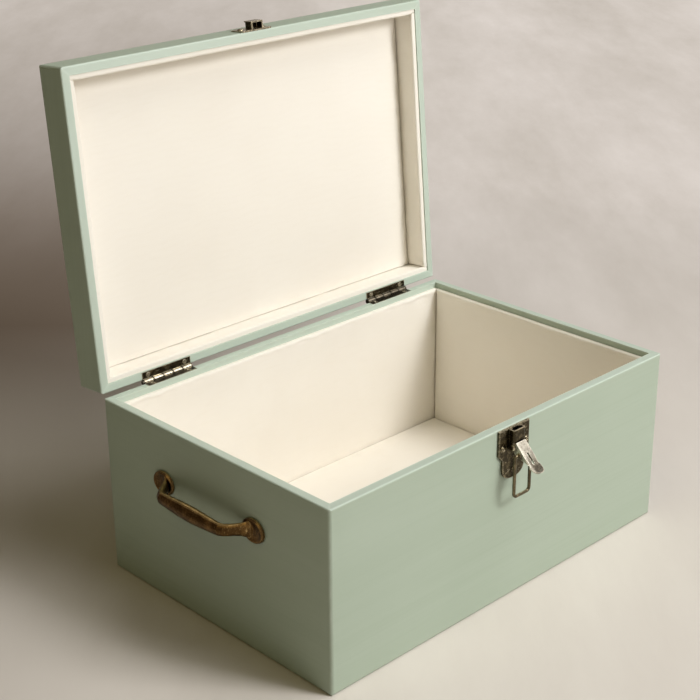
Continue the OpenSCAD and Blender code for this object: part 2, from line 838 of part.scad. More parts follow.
// Rises smoothly from 0 at the share 0 to 1 at the share 1, and is level outside
function eased(share) = let(s = max(0, min(1, share))) s * s * (3 - 2 * s);

// The grip's middle line at a place y along the handle: its distance from the board, and its tilt
function line_out(y) = sweep_low
  + (handle_out - sweep_low - grip_bow * pow(2 * y / handle_l, 2)) * eased((handle_l / 2 - abs(y)) / neck_l);
function line_tilt(y) = atan(line_out(y + 0.5) - line_out(y - 0.5));

// Half height and half thickness of the grip at a place: slim at the necks, spread into the feet
function grip_half(y) = let(neck = handle_l / 2 - neck_l / 2)
  grip_half_h - neck_slim * eased(abs(y) / neck) + neck_fan * eased((abs(y) - neck) / (neck_l / 2));
function grip_thick(y) = let(neck = handle_l / 2 - neck_l / 2)
  grip_half_t + (neck_half_t - grip_half_t) * eased(abs(y) / neck)
  + (sweep_low - neck_half_t) * eased((abs(y) - neck) / (neck_l / 2));

// A section's edge from a sine or cosine: pointed below 2, an oval at 2 and boxy above it
function softened(value, squareness) = sign(value) * pow(abs(value), 2 / squareness);

// The grip: sections with a soft outer ridge, swept along the bow and turned square to it
module handle_grip() {
  end = handle_l / 2 + sweep_past;
  outer = 1.75;
  inner = 2.3;
  points = [for (k = [0:grip_rings]) let(y = (2 * k / grip_rings - 1) * end, tilt = line_tilt(y))
    for (a = [0:grip_sides - 1]) let(
      turn = 360 * a / grip_sides,
      n = grip_thick(y) * softened(cos(turn), cos(turn) > 0 ? outer : inner))
    [line_out(y) + n * cos(tilt), y - n * sin(tilt), grip_half(y) * sin(turn)]];
  skin(points, grip_sides, grip_rings + 1);
}

// A foot: an oval leaf flat on the board, with a raised rim around a shallow dish
module handle_foot() {
  levels = [[0, 0.94], [0.25, 1], [0.65, 0.98], [0.92, 0.92], [1, 0.85], [0.95, 0.77],
            [0.76, 0.6], [0.62, 0.35]];
  points = [for (level = levels, a = [0:foot_sides - 1]) let(turn = -360 * a / foot_sides)
    [level[0] * foot_t, level[1] * foot_half_l * cos(turn), level[1] * foot_half_h * sin(turn)]];
  skin(points, foot_sides, len(levels));
}

// A closed body through rings of points that turn the same way and follow one another
module skin(points, sides, rings) {
  last = (rings - 1) * sides;
  cells = [for (k = [0:rings - 2], a = [0:sides - 1]) [k * sides + a, k * sides + (a + 1) % sides]];
  polyhedron(points = points, faces = concat(
    [[for (a = [sides - 1:-1:0]) a]],
    [[for (a = [0:sides - 1]) last + a]],
    [for (c = cells) [c[0], c[1] + sides, c[0] + sides]],
    [for (c = cells) [c[0], c[1], c[1] + sides]]));
}

module handle(side) {
  behind = 2 * sweep_low;
  color(bronze) at_handle(side) difference() {
    union() {
      handle_grip();
      for (y = [-handle_l / 2, handle_l / 2]) {
        translate([0, y, 0]) handle_foot();
      }
    }
    translate([-behind, -handle_l, -grip_half_h - foot_half_h])
      cube([behind, 2 * handle_l, 2 * (grip_half_h + foot_half_h)]);
    for (y = [-handle_screw_y, handle_screw_y]) {
      translate([-1, y, 0]) rotate([0, 90, 0])
        cylinder(h = handle_screw_deep + handle_screw_spare + 1, r = handle_screw_r + fit);
    }
  }
}

// At a handle's screws: Z out through the side board, from its inner face
module at_handle_screws(side) {
  at_handle(side) for (y = [-handle_screw_y, handle_screw_y]) {
    translate([-wall_t, y, 0]) rotate([0, 90, 0]) children();
  }
}

// Countersunk head of a handle screw, flush with the inner face of the board
module handle_screw_head(grow = 0) {
  head_h = handle_head_r - handle_screw_r;
  translate([0, 0, grow > 0 ? -tiny : 0])
    cylinder(h = head_h, r1 = handle_head_r + grow, r2 = handle_screw_r + grow);
}

module handle_screws(side) {
  color(bronze) at_handle_screws(side) {
    cylinder(h = wall_t + handle_screw_deep, r = handle_screw_r);
    handle_screw_head();
  }
}

front_wall();
back_wall();
side_wall(-1);  // left_wall
side_wall(1);  // right_wall
floor_board();
lid_top_board();
lid_front_rail();
lid_back_rail();
lid_end_rail(-1);  // lid_left_rail
lid_end_rail(1);  // lid_right_rail
floor_pad();
stood_pad(0, long_pad_w, lining_h, floor_t);  // front_pad
stood_pad(180, long_pad_w, lining_h, floor_t);  // back_pad
stood_pad(270, short_pad_w, lining_h, floor_t);  // left_pad
stood_pad(90, short_pad_w, lining_h, floor_t);  // right_pad
lid_top_pad();
on_lid() stood_pad(0, long_pad_w, lid_lining_h, lid_pad_z);  // lid_front_pad
on_lid() stood_pad(180, long_pad_w, lid_lining_h, lid_pad_z);  // lid_back_pad
on_lid() stood_pad(270, short_pad_w, lid_lining_h, lid_pad_z);  // lid_left_pad
on_lid() stood_pad(90, short_pad_w, lid_lining_h, lid_pad_z);  // lid_right_pad
hinge_case_leaf(-1);  // left_hinge_case_leaf
hinge_lid_leaf(-1);  // left_hinge_lid_leaf
hinge_pin(-1);  // left_hinge_pin
hinge_case_leaf(1);  // right_hinge_case_leaf
hinge_lid_leaf(1);  // right_hinge_lid_leaf
hinge_pin(1);  // right_hinge_pin
hinge_case_screws();
hinge_lid_screws();
latch_plate();
latch_bracket();
latch_lever();
lever_rivet();
loop_bush();
wire_loop();
latch_screw_set();  // latch_screws
strike_hook();
strike_screw_set();  // strike_screws
handle(-1);  // left_handle
handle(1);  // right_handle
handle_screws(-1);  // left_handle_screws
handle_screws(1);  // right_handle_screws
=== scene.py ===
"""Keepsake box: sage green painted wood, cream padded lining, antique brass fittings.

The boards, hinges, latch, strike and handles are the frame's own parts with new materials. The lining and
the screws that show are modelled here, each in the space of the part that it stands for. Sizes are in metres.
"""
import json
import math

import bmesh
import bpy
from mathutils import Matrix, Vector, noise


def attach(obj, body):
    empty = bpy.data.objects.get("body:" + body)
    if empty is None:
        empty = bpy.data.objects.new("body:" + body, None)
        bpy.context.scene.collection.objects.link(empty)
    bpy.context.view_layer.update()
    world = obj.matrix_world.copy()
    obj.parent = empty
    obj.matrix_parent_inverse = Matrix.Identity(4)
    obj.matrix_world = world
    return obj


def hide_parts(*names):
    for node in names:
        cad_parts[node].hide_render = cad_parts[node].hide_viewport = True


MM = 0.001
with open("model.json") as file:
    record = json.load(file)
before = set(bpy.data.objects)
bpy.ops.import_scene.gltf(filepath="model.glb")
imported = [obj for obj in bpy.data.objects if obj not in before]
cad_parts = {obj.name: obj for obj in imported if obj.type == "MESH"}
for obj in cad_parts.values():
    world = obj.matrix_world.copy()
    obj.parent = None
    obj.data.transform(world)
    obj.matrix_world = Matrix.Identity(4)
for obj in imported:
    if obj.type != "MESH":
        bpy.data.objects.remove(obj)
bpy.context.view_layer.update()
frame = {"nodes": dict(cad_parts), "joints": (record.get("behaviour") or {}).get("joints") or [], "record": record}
nodes = frame["nodes"]
joints = {joint["name"]: joint for joint in frame["joints"]}
body_of_node = {node: body for body, members in frame["record"]["behaviour"]["bodies"].items()
                for node in members}

# The shut lid is the lid's own upright frame: open_lid takes a point of it to where the open lid holds it.
hinge_axis = Vector(joints["lid_hinge"]["pos_m"])
open_angle = math.radians(joints["lid_hinge"]["range_deg"][1])
open_lid = (Matrix.Translation(hinge_axis) @ Matrix.Rotation(-open_angle, 4, "X")
            @ Matrix.Translation(-hinge_axis))
upright = Matrix.Identity(4)


# ---------------------------------------------------------------- meshes

def from_bmesh(name, bm, smooth=True):
    """Puts a mesh in the scene, with its faces looking outwards."""
    bmesh.ops.recalc_face_normals(bm, faces=bm.faces)
    mesh = bpy.data.meshes.new(name)
    bm.to_mesh(mesh)
    bm.free()
    mesh.validate()
    obj = bpy.data.objects.new(name, mesh)
    bpy.context.scene.collection.objects.link(obj)
    if smooth:
        mesh.shade_smooth()
    return obj


def apply_modifiers(obj):
    """Turns what the modifiers make of a mesh into the mesh itself."""
    graph = bpy.context.evaluated_depsgraph_get()
    mesh = bpy.data.meshes.new_from_object(obj.evaluated_get(graph))
    obj.modifiers.clear()
    old = obj.data
    obj.data = mesh
    bpy.data.meshes.remove(old)


def node_points(node, place):
    """The corners of a CAD node in the frame that place takes to the part's own."""
    back = place.inverted()
    return [back @ v.co for v in nodes[node].data.vertices]


def box_of(points):
    """The lowest and the highest corner of the box round some points."""
    low = Vector([min(p[k] for p in points) for k in range(3)])
    high = Vector([max(p[k] for p in points) for k in range(3)])
    return low, high


def islands(node, place):
    """The boxes of a CAD node's separate solids, from left to right and from low to high."""
    bm = bmesh.new()
    bm.from_mesh(nodes[node].data)
    bmesh.ops.remove_doubles(bm, verts=bm.verts, dist=1e-6)
    bm.verts.ensure_lookup_table()
    back = place.inverted()
    seen = set()
    boxes = []
    for start in bm.verts:
        if start.index in seen:
            continue
        seen.add(start.index)
        group = [start]
        for v in group:
            for edge in v.link_edges:
                other = edge.other_vert(v)
                if other.index not in seen:
                    seen.add(other.index)
                    group.append(other)
        boxes.append(box_of([back @ v.co for v in group]))
    bm.free()
    return sorted(boxes, key=lambda b: (round(b[0].x, 5), round(b[0].z, 5)))


# ---------------------------------------------------------------- materials

def colour(red, green, blue):
    """A colour from its 0 to 255 screen values, as the shader's linear values."""
    def linear(c):
        c /= 255
        return c / 12.92 if c <= 0.04045 else ((c + 0.055) / 1.055) ** 2.4
    return (linear(red), linear(green), linear(blue), 1)


class Nodes:
    """Makes the nodes of a material or the world and joins them."""

    def __init__(self, tree):
        self.tree = tree

    def node(self, kind, **settings):
        made = self.tree.nodes.new(kind)
        for key, value in settings.items():
            setattr(made, key, value)
        return made

    def join(self, source, target):
        self.tree.links.new(source, target)

    def set(self, node, name, value):
        """Gives an input its value: another node's output, or a constant."""
        if isinstance(value, bpy.types.NodeSocket):
            self.join(value, node.inputs[name])
        else:
            node.inputs[name].default_value = value

    def split(self, vector):
        parts = self.node("ShaderNodeSeparateXYZ")
        self.join(vector, parts.inputs[0])
        return parts.outputs

    def noise(self, where, scale=1.0, detail=3.0, roughness=0.5, distortion=0.0, output="Fac"):
        made = self.node("ShaderNodeTexNoise")
        self.join(where, made.inputs["Vector"])
        made.inputs["Scale"].default_value = scale
        made.inputs["Detail"].default_value = detail
        made.inputs["Roughness"].default_value = roughness
        made.inputs["Distortion"].default_value = distortion
        return made.outputs[output]

    def ramp(self, value, low, high, to_low=0.0, to_high=1.0):
        """Maps value from low..high to to_low..to_high, and holds it there outside."""
        made = self.node("ShaderNodeMapRange")
        self.set(made, "Value", value)
        made.inputs["From Min"].default_value = low
        made.inputs["From Max"].default_value = high
        made.inputs["To Min"].default_value = to_low
        made.inputs["To Max"].default_value = to_high
        return made.outputs["Result"]

    def maths(self, operation, a, b=0.0):
        made = self.node("ShaderNodeMath", operation=operation)
        self.set(made, 0, a)
        self.set(made, 1, b)
        return made.outputs[0]

    def vector(self, operation, *values):
        """The outputs Vector and Value of an operation on vectors."""
        made = self.node("ShaderNodeVectorMath", operation=operation)
        for k, value in enumerate(values):
            self.set(made, k, value)
        return made.outputs

    def product(self, first, *others):
        for other in others:
            first = self.maths("MULTIPLY", first, other)
        return first

    def between(self, value, low, high):
        """1 where value lies between low and high, else 0."""
        return self.product(self.maths("GREATER_THAN", value, low), self.maths("LESS_THAN", value, high))

    def mix(self, share, a, b):
        """A colour between a and b. The node's colours are its inputs 6 and 7 and its output 2."""
        made = self.node("ShaderNodeMix", data_type="RGBA")
        self.set(made, 0, share)
        self.set(made, 6, a)
        self.set(made, 7, b)
        return made.outputs[2]

    def mix_shaders(self, share, a, b):
        made = self.node("ShaderNodeMixShader")
        self.set(made, 0, share)
        self.join(a.outputs[0], made.inputs[1])
        self.join(b.outputs[0], made.inputs[2])
        return made.outputs[0]

    def seen(self):
        """1 for what the camera sees, straight, mirrored or through glass, and 0 for light."""
        path = self.node("ShaderNodeLightPath")
        bent = self.maths("MAXIMUM", path.outputs["Is Glossy Ray"], path.outputs["Is Transmission Ray"])
        return self.maths("MAXIMUM", path.outputs["Is Camera Ray"], bent)


class Shader(Nodes):
    """A material under construction."""

    def __init__(self, name):
        self.material = bpy.data.materials.new(name)
        self.material.use_nodes = True
        super().__init__(self.material.node_tree)
        self.bsdf = self.tree.nodes["Principled BSDF"]
        self.place = self.node("ShaderNodeTexCoord").outputs["Object"]

    def mapped(self, scale=(1, 1, 1), turn=(0, 0, 0), move=(0, 0, 0)):
        """The place on the object, scaled, then turned, then moved."""
        mapping = self.node("ShaderNodeMapping")
        self.join(self.place, mapping.inputs["Vector"])
        mapping.inputs["Scale"].default_value = scale
        mapping.inputs["Rotation"].default_value = turn
        mapping.inputs["Location"].default_value = move
        return mapping.outputs["Vector"]

    def edges(self, radius, low, high):
        """1 on the outer edges of the form and 0 on its faces."""
        bevel = self.node("ShaderNodeBevel", samples=6)
        bevel.inputs["Radius"].default_value = radius
        normal = self.node("ShaderNodeNewGeometry").outputs["Normal"]
        likeness = self.vector("DOT_PRODUCT", bevel.outputs["Normal"], normal)["Value"]
        return self.ramp(likeness, low, high, 1.0, 0.0)

    def bump(self, height, strength, distance):
        made = self.node("ShaderNodeBump")
        made.inputs["Strength"].default_value = strength
        made.inputs["Distance"].default_value = distance
        self.join(height, made.inputs["Height"])
        return made.outputs["Normal"]

    def finish(self, **inputs):
        """Sets the shader's inputs, named with _ for each space."""
        for name, value in inputs.items():
            self.set(self.bsdf, name.replace("_", " "), value)
        return self.material


SLACK = 0.2 * MM        # added round the lined space for the painted light above the lining


def paint(name, along, place, rim, low, high):
    """Satin paint brushed along one axis (0, 1 or 2). Its edges are lighter, partly wear and partly a painted
    highlight, and a painted highlight runs along the rim at height rim. Where place takes the box from low to
    high, behind the lining, the wood is bare. Boards along X also get painted light above the lining."""
    s = Shader(name)
    brush = [520.0, 520.0, 520.0]
    brush[along] = 7.0
    wide = [80.0, 80.0, 80.0]
    wide[along] = 2.5
    strokes = s.noise(s.mapped(brush), detail=4, roughness=0.6)
    bands = s.noise(s.mapped(wide), detail=3, distortion=0.3)
    clouds = s.noise(s.place, scale=7, detail=3)
    specks = s.noise(s.place, scale=900, detail=2)
    base = s.mix(s.ramp(clouds, 0.3, 0.7), colour(170, 184, 165), colour(176, 189, 171))
    base = s.mix(s.ramp(bands, 0.35, 0.7, 0, 0.4), base, colour(180, 193, 176))
    base = s.mix(s.ramp(strokes, 0.52, 0.8, 0, 0.3), base, colour(163, 177, 157))
    base = s.mix(s.ramp(specks, 0.7, 0.8, 0, 0.2), base, colour(196, 206, 191))
    # Lighter edges: partly wear, partly a painted highlight.
    edge_patches = s.ramp(s.noise(s.place, 55, 4, 0.65), 0.38, 0.62)
    wear_and_edge_light = s.product(s.edges(2.0 * MM, 0.90, 0.998), edge_patches, 0.5)
    base = s.mix(wear_and_edge_light, base, colour(216, 225, 214))
    back = place.inverted()
    x, y, z = s.split(s.mapped(turn=back.to_euler(), move=back.to_translation()))
    # Painted highlight: lighter along the rim, strongest at its height.
    from_rim = s.maths("ABSOLUTE", s.maths("SUBTRACT", z, rim))
    wear_and_highlight = s.product(s.ramp(from_rim, 0.4 * MM, 1.2 * MM, 0.45, 0.0), s.ramp(bands, 0.3, 0.7, 0.75, 1.0))
    base = s.mix(wear_and_highlight, base, colour(216, 229, 220))
    # Painted light: boards along X are lighter on their inner face above the lining.
    if along == 0:
        inside_x = s.between(x, low.x - SLACK, high.x + SLACK)
        inside_y = s.between(y, low.y - SLACK, high.y + SLACK)
        base = s.mix(s.product(inside_x, inside_y, 0.7), base, colour(206, 219, 206))
    wood = s.mix(s.ramp(bands, 0.3, 0.7), colour(226, 206, 172), colour(214, 192, 156))
    bare = s.product(s.between(x, low.x, high.x), s.between(y, low.y, high.y), s.between(z, low.z, high.z))
    base = s.mix(bare, base, wood)
    rough = s.ramp(strokes, 0.3, 0.7, 0.42, 0.54)
    relief = s.maths("ADD", s.product(strokes, 0.6), s.product(bands, 0.8))
    normal = s.bump(relief, 0.3, 0.2 * MM)
    return s.finish(Base_Color=base, Roughness=rough, Normal=normal, Specular_IOR_Level=0.4)


def bare_board(name):
    """The unpainted underside: pale wood with a soft grain along X."""
    s = Shader(name)
    grain = s.noise(s.mapped((6, 160, 160)), detail=5, roughness=0.6, distortion=0.6)
    pores = s.noise(s.mapped((40, 1100, 1100)), detail=2)
    base = s.mix(s.ramp(grain, 0.3, 0.7), colour(196, 164, 122), colour(170, 136, 96))
    base = s.mix(s.ramp(pores, 0.58, 0.75, 0, 0.5), base, colour(120, 92, 62))
    return s.finish(Base_Color=base, Roughness=0.7, Normal=s.bump(grain, 0.3, 0.3 * MM))


THREAD = 0.45 * MM      # spacing of the lining's threads


def lining_cloth(name):
    """Cream cotton: a plain weave that follows no UVs, with slubs and a soft sheen."""
    s = Shader(name)
    turns = 2 * math.pi / THREAD
    wobble = s.noise(s.place, scale=30, detail=2, output="Color")
    shifted = s.vector("MULTIPLY_ADD", wobble, (1.5 * MM, 1.5 * MM, 1.5 * MM), s.place)["Vector"]
    waves = [s.maths("SINE", s.product(along, turns)) for along in s.split(shifted)]
    weave = s.maths("ADD", s.maths("ADD", waves[0], waves[1]), waves[2])
    slubs = s.noise(s.mapped((60, 60, 900)), detail=2)
    cross = s.noise(s.mapped((900, 900, 60)), detail=2)
    soft = s.noise(s.place, scale=9, detail=2)
    base = s.mix(s.ramp(soft, 0.3, 0.7), colour(247, 242, 232), colour(243, 237, 226))
    base = s.mix(s.ramp(slubs, 0.55, 0.8, 0, 0.12), base, colour(232, 223, 207))
    base = s.mix(s.ramp(cross, 0.55, 0.8, 0, 0.15), base, colour(249, 244, 235))
    base = s.mix(s.ramp(weave, -0.5, -2.2, 0.0, 0.08), base, colour(228, 218, 200))
    threads = s.product(s.maths("ADD", slubs, cross), 0.45)
    normal = s.bump(s.maths("ADD", s.product(weave, 0.18), threads), 0.18, 0.16 * MM)
    return s.finish(Base_Color=base, Roughness=0.88, Normal=normal, Sheen_Weight=0.25,
                    Sheen_Roughness=0.5, Specular_IOR_Level=0.2)


# Near-black painted shade for hollows and the gaps between hinge knuckles; in the hollows also dark patina.
HOLLOW_SHADE = colour(24, 20, 14)
KNUCKLES = 5            # of each hinge


def old_metal(name, dark, wear_and_edge_light, bright, rub, roughness, grain, patch=190, top=0.75, highlight_bands=(), barrel=False):
    """Antique plated or cast metal with wear in patches. The hollows are dark: painted shade, with dark patina.
    Edges are bright, partly wear and partly a painted highlight. Faces that look up get a painted highlight by
    top, and each (axis, from, to, share) of highlight_bands a painted highlight band. barrel is True for the
    hinges, whose barrels get a painted highlight and painted shade between their knuckles."""
    s = Shader(name)
    patches = s.noise(s.place, scale=patch, detail=4, roughness=0.6)
    fine = s.noise(s.place, scale=1500, detail=3)
    scratches = s.noise(s.mapped((300, 2200, 900), (0.3, 0.2, 0.5)), detail=2)

    def patchy(value, least):
        """value in the patches, and this least share of it between them."""
        return s.product(value, s.ramp(patches, 0.3, 0.6, least, 1.0))

    wear_and_highlight = s.maths("ADD", s.product(patches, 0.8), s.product(fine, 0.2))
    base = s.mix(s.ramp(wear_and_highlight, 0.62 - 0.3 * rub, 0.86 - 0.3 * rub), dark, wear_and_edge_light)
    # Painted shade in the hollows, with dark patina.
    hollow = s.node("ShaderNodeAmbientOcclusion", samples=6)
    hollow.inputs["Distance"].default_value = 4 * MM
    base = s.mix(s.ramp(hollow.outputs["AO"], 0.25, 0.85), HOLLOW_SHADE, base)
    # Bright edges: partly wear, partly a painted highlight.
    base = s.mix(patchy(s.edges(1.1 * MM, 0.80, 0.99), 0.45), base, bright)
    base = s.mix(s.ramp(scratches, 0.62, 0.75, 0, 0.35), base, bright)
    # Painted highlight on faces that look up, by top.
    upward = s.split(s.node("ShaderNodeNewGeometry").outputs["Normal"])[2]
    base = s.mix(patchy(s.ramp(upward, 0.8, 0.97, 0.0, top), 0.5), base, bright)
    places = s.split(s.place)
    # Painted highlight bands along the object's axes.
    for axis, start, end, share in highlight_bands:
        base = s.mix(patchy(s.ramp(places[axis], start, end, 0.0, share), 0.6), base, bright)
    if barrel:
        base = barrel_highlight_and_shade(s, base, bright, patchy, places)
    rough = s.ramp(fine, 0.3, 0.7, roughness - 0.07, roughness + 0.12)
    relief = s.maths("ADD", s.product(patches, 0.6), s.product(fine, 0.35 * grain))
    normal = s.bump(relief, 0.35 * grain, 0.3 * MM)
    return s.finish(Base_Color=base, Roughness=rough, Metallic=1.0, Normal=normal)


def barrel_highlight_and_shade(s, base, bright, patchy, places):
    """Paints a highlight on the hinges' barrels above their middle, the left one more than the right one,
    and paints shade between their knuckles."""
    x = places[0]
    across, upward = (s.maths("SUBTRACT", places[k], hinge_axis[k]) for k in (1, 2))
    reach = s.maths("SQRT", s.maths("ADD", s.product(across, across), s.product(upward, upward)))
    # Height over the axis is measured upwards and a little back.
    height = s.maths("ADD", s.product(across, 0.39), s.product(upward, 0.92))
    # Painted highlight on the upper middle of the barrels, stronger on the left hinge.
    wear_and_highlight = s.product(patchy(s.ramp(reach, 2.0 * MM, 2.3 * MM, 0.8, 0.0), 0.4),
                       s.ramp(height, -0.5 * MM, 0.3 * MM, 0.12, 1.0),
                       s.ramp(x, -20 * MM, 20 * MM, 1.0, 0.5))
    base = s.mix(wear_and_highlight, base, bright)
    leaf_low, leaf_high = box_of(node_points("right_hinge_case_leaf", upright))
    knuckle = (leaf_high.x - leaf_low.x) / KNUCKLES
    along = s.maths("SUBTRACT", s.maths("ABSOLUTE", x), leaf_low.x)
    from_joint = s.maths("PINGPONG", along, knuckle / 2)
    # Painted shade between the knuckles.
    joint = s.product(s.ramp(from_joint, 0.5 * MM, 1.1 * MM, 0.85, 0.0),
                      s.ramp(reach, 2.3 * MM, 2.6 * MM, 1.0, 0.0))
    return s.mix(joint, base, HOLLOW_SHADE)


def lined_space(pads, place):
    """The box that the lining of the case or the lid fills, grown to the faces behind it."""
    low, high = box_of([p for pad in pads for p in node_points(pad, place)])
    growth = Vector((0.4, 0.4, 1.0)) * MM
    return low - growth, high + growth


CASE_PADS = ("front_pad", "back_pad", "left_pad", "right_pad")
PAINT_EDGE = 1.5 * MM   # how far the paint goes into the lined space from its open side
case_space = lined_space(CASE_PADS, upright)
lid_space = lined_space(["lid_" + pad for pad in CASE_PADS], open_lid)
case_space[1].z -= PAINT_EDGE
lid_space[0].z += PAINT_EDGE
case_rim = box_of(node_points("front_wall", upright))[1].z
lid_rim = box_of(node_points("lid_front_rail", open_lid))[0].z
case_paint_x = paint("case_paint_along_x", 0, upright, case_rim, *case_space)
case_paint_y = paint("case_paint_along_y", 1, upright, case_rim, *case_space)
lid_paint_x = paint("lid_paint_along_x", 0, open_lid, lid_rim, *lid_space)
# The open lid stands, so what runs along Y in the shut lid runs nearly along Z here.
lid_paint_y = paint("lid_paint_along_y", 2, open_lid, lid_rim, *lid_space)
cream = lining_cloth("cream_lining")
lever_low, lever_high = box_of(node_points("latch_lever", upright))
# Painted highlight: the lever is brighter towards its top and its left edge.
lever_highlight = ((2, lever_low.z + 6 * MM, lever_high.z - 6 * MM, 0.45),
               (0, lever_low.x + 3 * MM, lever_low.x + 1.2 * MM, 0.6))
hinge_metal = old_metal("hinge_metal", colour(50, 45, 35), colour(92, 84, 67), colour(226, 216, 192),
                        rub=0.45, roughness=0.28, grain=0.7, top=0.0, barrel=True)
plate_metal = old_metal("latch_plate_metal", colour(62, 56, 41), colour(128, 117, 89), colour(244, 232, 202),
                        rub=0.5, roughness=0.26, grain=0.6, patch=260, top=0.4)
lever_metal = old_metal("latch_lever_metal", colour(84, 79, 68), colour(132, 125, 110), colour(240, 234, 218),
                        rub=0.6, roughness=0.30, grain=0.7, top=0.0, highlight_bands=lever_highlight)
wire_metal = old_metal("latch_wire_metal", colour(84, 76, 58), colour(140, 128, 100), colour(240, 228, 200),
                       rub=0.6, roughness=0.2, grain=0.4)
handle_metal = old_metal("handle_metal", colour(84, 62, 34), colour(142, 110, 64), colour(246, 214, 150),
                         rub=0.45, roughness=0.3, grain=0.7, patch=130, top=0.5)


def dress(material, *names):
    """Gives CAD nodes their material."""
    for name in names:
        slots = nodes[name].data.materials
        slots.clear()
        slots.append(material)


dress(case_paint_x, "front_wall", "back_wall")
dress(case_paint_y, "left_wall", "right_wall")
dress(lid_paint_x, "lid_top_board", "lid_front_rail", "lid_back_rail")
dress(lid_paint_y, "lid_left_rail", "lid_right_rail")
dress(bare_board("bare_underside"), "floor_board")
dress(hinge_metal, *(n for n in nodes if "hinge" in n))
dress(plate_metal, "latch_plate", "latch_bracket", "strike_hook")
dress(lever_metal, "latch_lever")
dress(wire_metal, "wire_loop", "lever_rivet", "loop_bush")
dress(handle_metal, "left_handle", "right_handle", "left_handle_screws", "right_handle_screws")


# ---------------------------------------------------------------- padded lining

PITCH = 6.5 * MM        # spacing of the fabric's points
PUFF = 1.1 * MM         # most that a pad's face may rise in the simulation
PINNED = 1.2 * MM       # width of the border that stays in place there
SIM_STEPS = 20
FOOT = 0.8              # height at which a pad's edges start, as a share of the pad's
FREE_FOOT = 0.68        # the same for its free edge
OVER_ROLL = (0.0, 0.10, 0.35, 0.70, 1.15)           # places over a rolled edge, as shares of its radius
BESIDE_ROLL = (0.7, 1.4, 2.1, 2.9, 4.2)             # and next to it, in millimetres
UNEVEN = 0.18 * MM      # height of a face's waves
UNEVEN_WAVES = 22       # and their number in a metre
BEAD_GAP = 1.2 * MM     # from the free edge to the middle of its bead
BEAD_WIDTH = 2.0 * MM
TUCK_GAP = 2.6 * MM     # from the free edge's ends to its tucks
TUCK_WIDTH = 1.0 * MM
TUCK_LENGTH = 5 * MM
TUCK_DEPTH = 0.7 * MM
SAG = 0.12 * MM         # height of the waves in the free edge's line
SAG_WAVES = 14          # and their number in a metre
SAG_WIDTH = 2.5 * MM
DRAWN_IN = 0.05 * MM    # how far the sides pull in between the corners


def grid_places(length, first, last):
    """Places across a pad from 0 to length, close together at its edges, which have these radii."""
    def from_edge(radius):
        over = [share * radius for share in OVER_ROLL]
        return over + [over[-1] + step * MM for step in BESIDE_ROLL]

    head = from_edge(first)
    tail = [length - place for place in reversed(from_edge(last))]
    count = max(2, round((tail[0] - head[-1]) / PITCH))
    step = (tail[0] - head[-1]) / count
    return head + [head[-1] + step * k for k in range(1, count)] + tail


def rolled(gap, radius, foot):
    """Height over a place near an edge, as a share of the pad's. It starts from foot at the edge."""
    short = 1 - min(gap / radius, 1)
    return foot + (1 - foot) * math.sqrt(1 - short * short)


def pad_face(us, vs, thick, rolls, crown, bead, seed):
    """The points of a pad's face, row by row, with rolled edges, a crown, drawn-in sides and slight
    unevenness. A free edge, wider rolled than the others, has a bead of this height and a tuck near each
    of its ends."""
    width, height = us[-1], vs[-1]
    free = rolls[3] > rolls[0]
    feet = (FOOT, FOOT, FOOT, FREE_FOOT if free else FOOT)
    face = []
    for v in vs:
        for u in us:
            gaps = (u, width - u, v, height - v)
            share = min(rolled(gap, radius, foot) for gap, radius, foot in zip(gaps, rolls, feet))
            a = 2 * u / width - 1
            b = 2 * v / height - 1
            rise = (thick - crown) * share + crown * (1 - a ** 4) * (1 - b ** 4)
            spot = Vector((u * UNEVEN_WAVES, v * UNEVEN_WAVES, seed * 7.3))
            rise += UNEVEN * noise.noise(spot) * share
            sag = 0.0
            if free:
                gap = gaps[3]
                end = min(gaps[0], gaps[1])
                on_bead = math.exp(-((gap - BEAD_GAP) / BEAD_WIDTH) ** 2)
                rise += bead * on_bead * min(1, 0.4 + end / (4 * MM))
                on_tuck = math.exp(-((end - TUCK_GAP - 0.3 * gap) / TUCK_WIDTH) ** 2)
                rise -= TUCK_DEPTH * on_tuck * math.exp(-gap / TUCK_LENGTH) * share
                sag = SAG * (noise.noise(Vector((u * SAG_WAVES, 0, seed * 3.1))) - 0.5)
                sag *= math.exp(-(gap / SAG_WIDTH) ** 2) * (1 - a ** 8)
            pull_u = a * DRAWN_IN * (1 - b * b)
            pull_v = b * DRAWN_IN * (1 - a * a)
            face.append(Vector((u - pull_u, v - pull_v + sag, rise)))
    return face


def close_pad(name, face, columns):
    """A closed mesh of a face, a flat back on w = 0 and the sides between them. The back's points follow
    the face's."""
    rows = len(face) // columns
    bm = bmesh.new()
    front = [bm.verts.new(p) for p in face]
    back = [bm.verts.new((p.x, p.y, 0)) for p in face]
    for j in range(rows - 1):
        for i in range(columns - 1):
            k = j * columns + i
            ring = (k, k + 1, k + columns + 1, k + columns)
            bm.faces.new([front[m] for m in ring])
            bm.faces.new([back[m] for m in reversed(ring)])
    rim = list(range(columns))
    rim += [j * columns + columns - 1 for j in range(1, rows)]
    rim += [(rows - 1) * columns + i for i in range(columns - 2, -1, -1)]
    rim += [j * columns for j in range(rows - 2, 0, -1)]
    for m, n in zip(rim, rim[1:] + rim[:1]):
        bm.faces.new((front[n], front[m], back[m], back[n]))
    return from_bmesh(name, bm)


